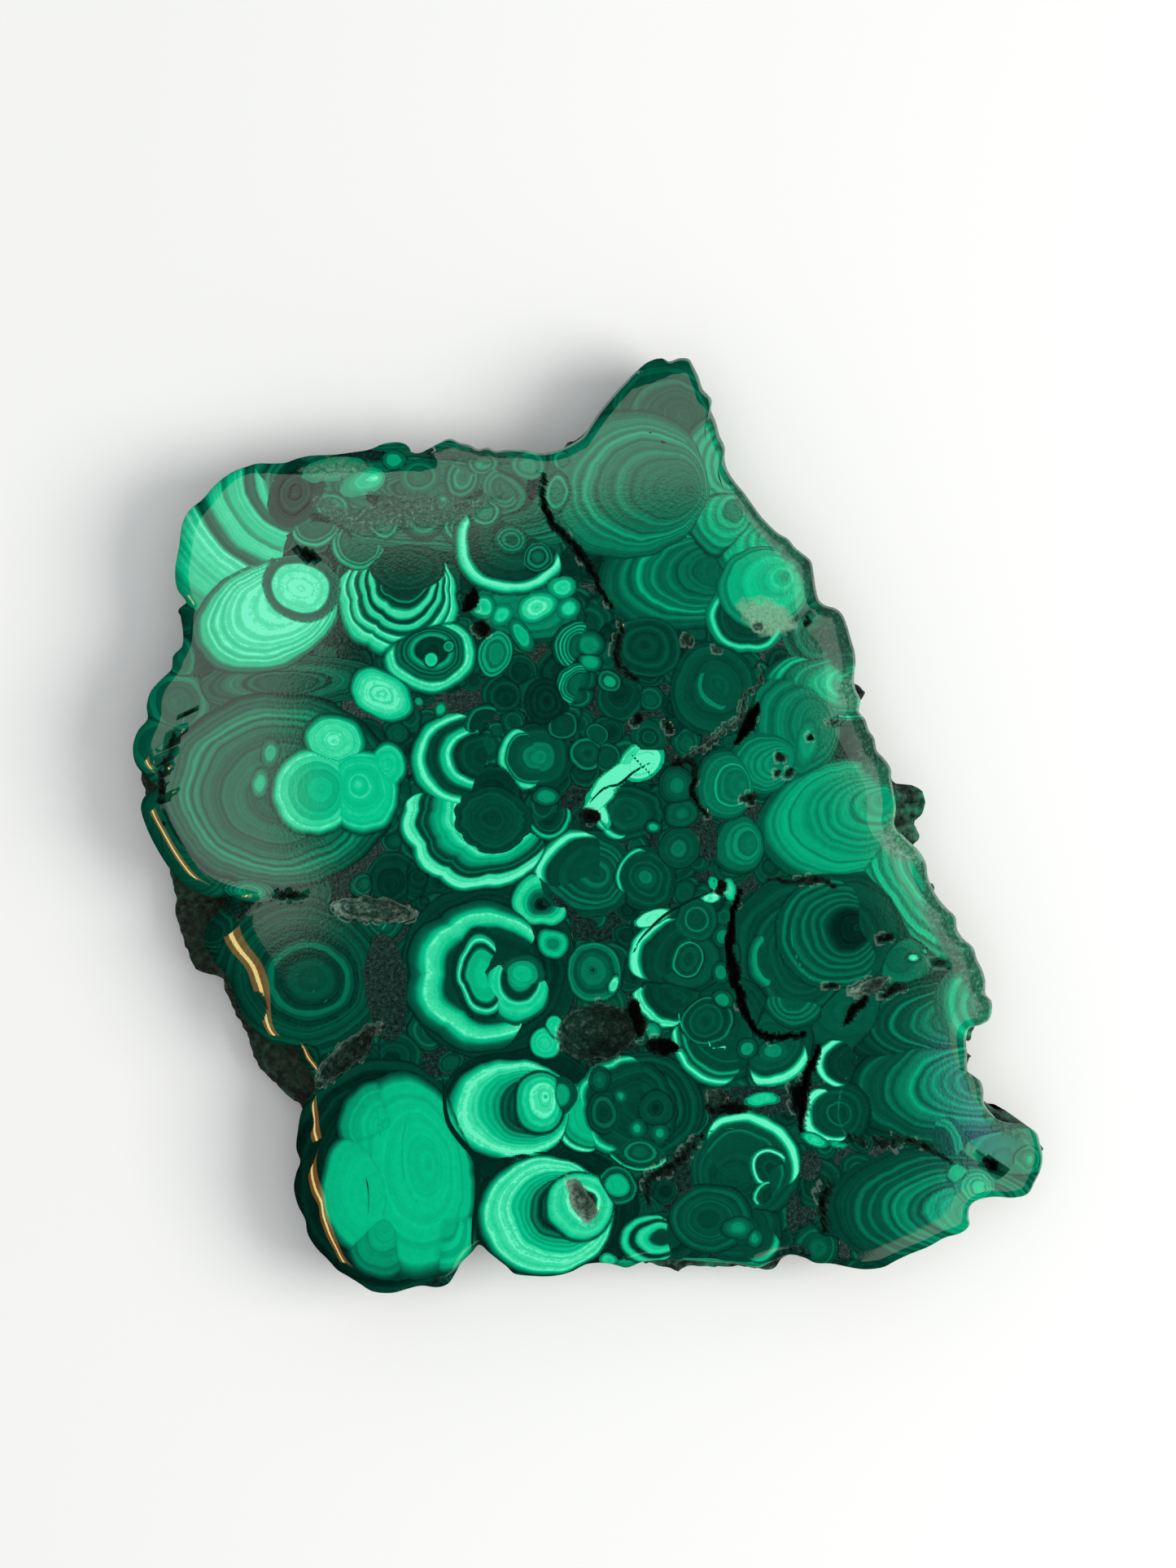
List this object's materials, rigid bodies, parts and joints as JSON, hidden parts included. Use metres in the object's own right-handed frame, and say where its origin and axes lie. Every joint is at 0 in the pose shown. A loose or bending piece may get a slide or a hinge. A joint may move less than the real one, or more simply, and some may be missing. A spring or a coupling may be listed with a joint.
{
  "type": "polished malachite slab",
  "caption": "Free-form slice of banded green malachite with one polished face, a partly rounded polished edge, rough broken sides and a flat sawn back to rest on.",
  "frame": {"origin": "under the middle of the slab's bounding box, on the flat sawn back", "axes": "+Z out of the polished face, +Y towards the pointed top corner of the face, +X towards the face's right side, where the narrow spur is"},
  "size_m": [0.1124, 0.1152, 0.012],
  "materials": {
    "malachite": "polished banded green stone on the face, dull rough stone on the sides, matte sawn stone on the back"
  },
  "bodies": {
    "root": {"malachite_slab": "malachite"}
  },
  "joints": []
}
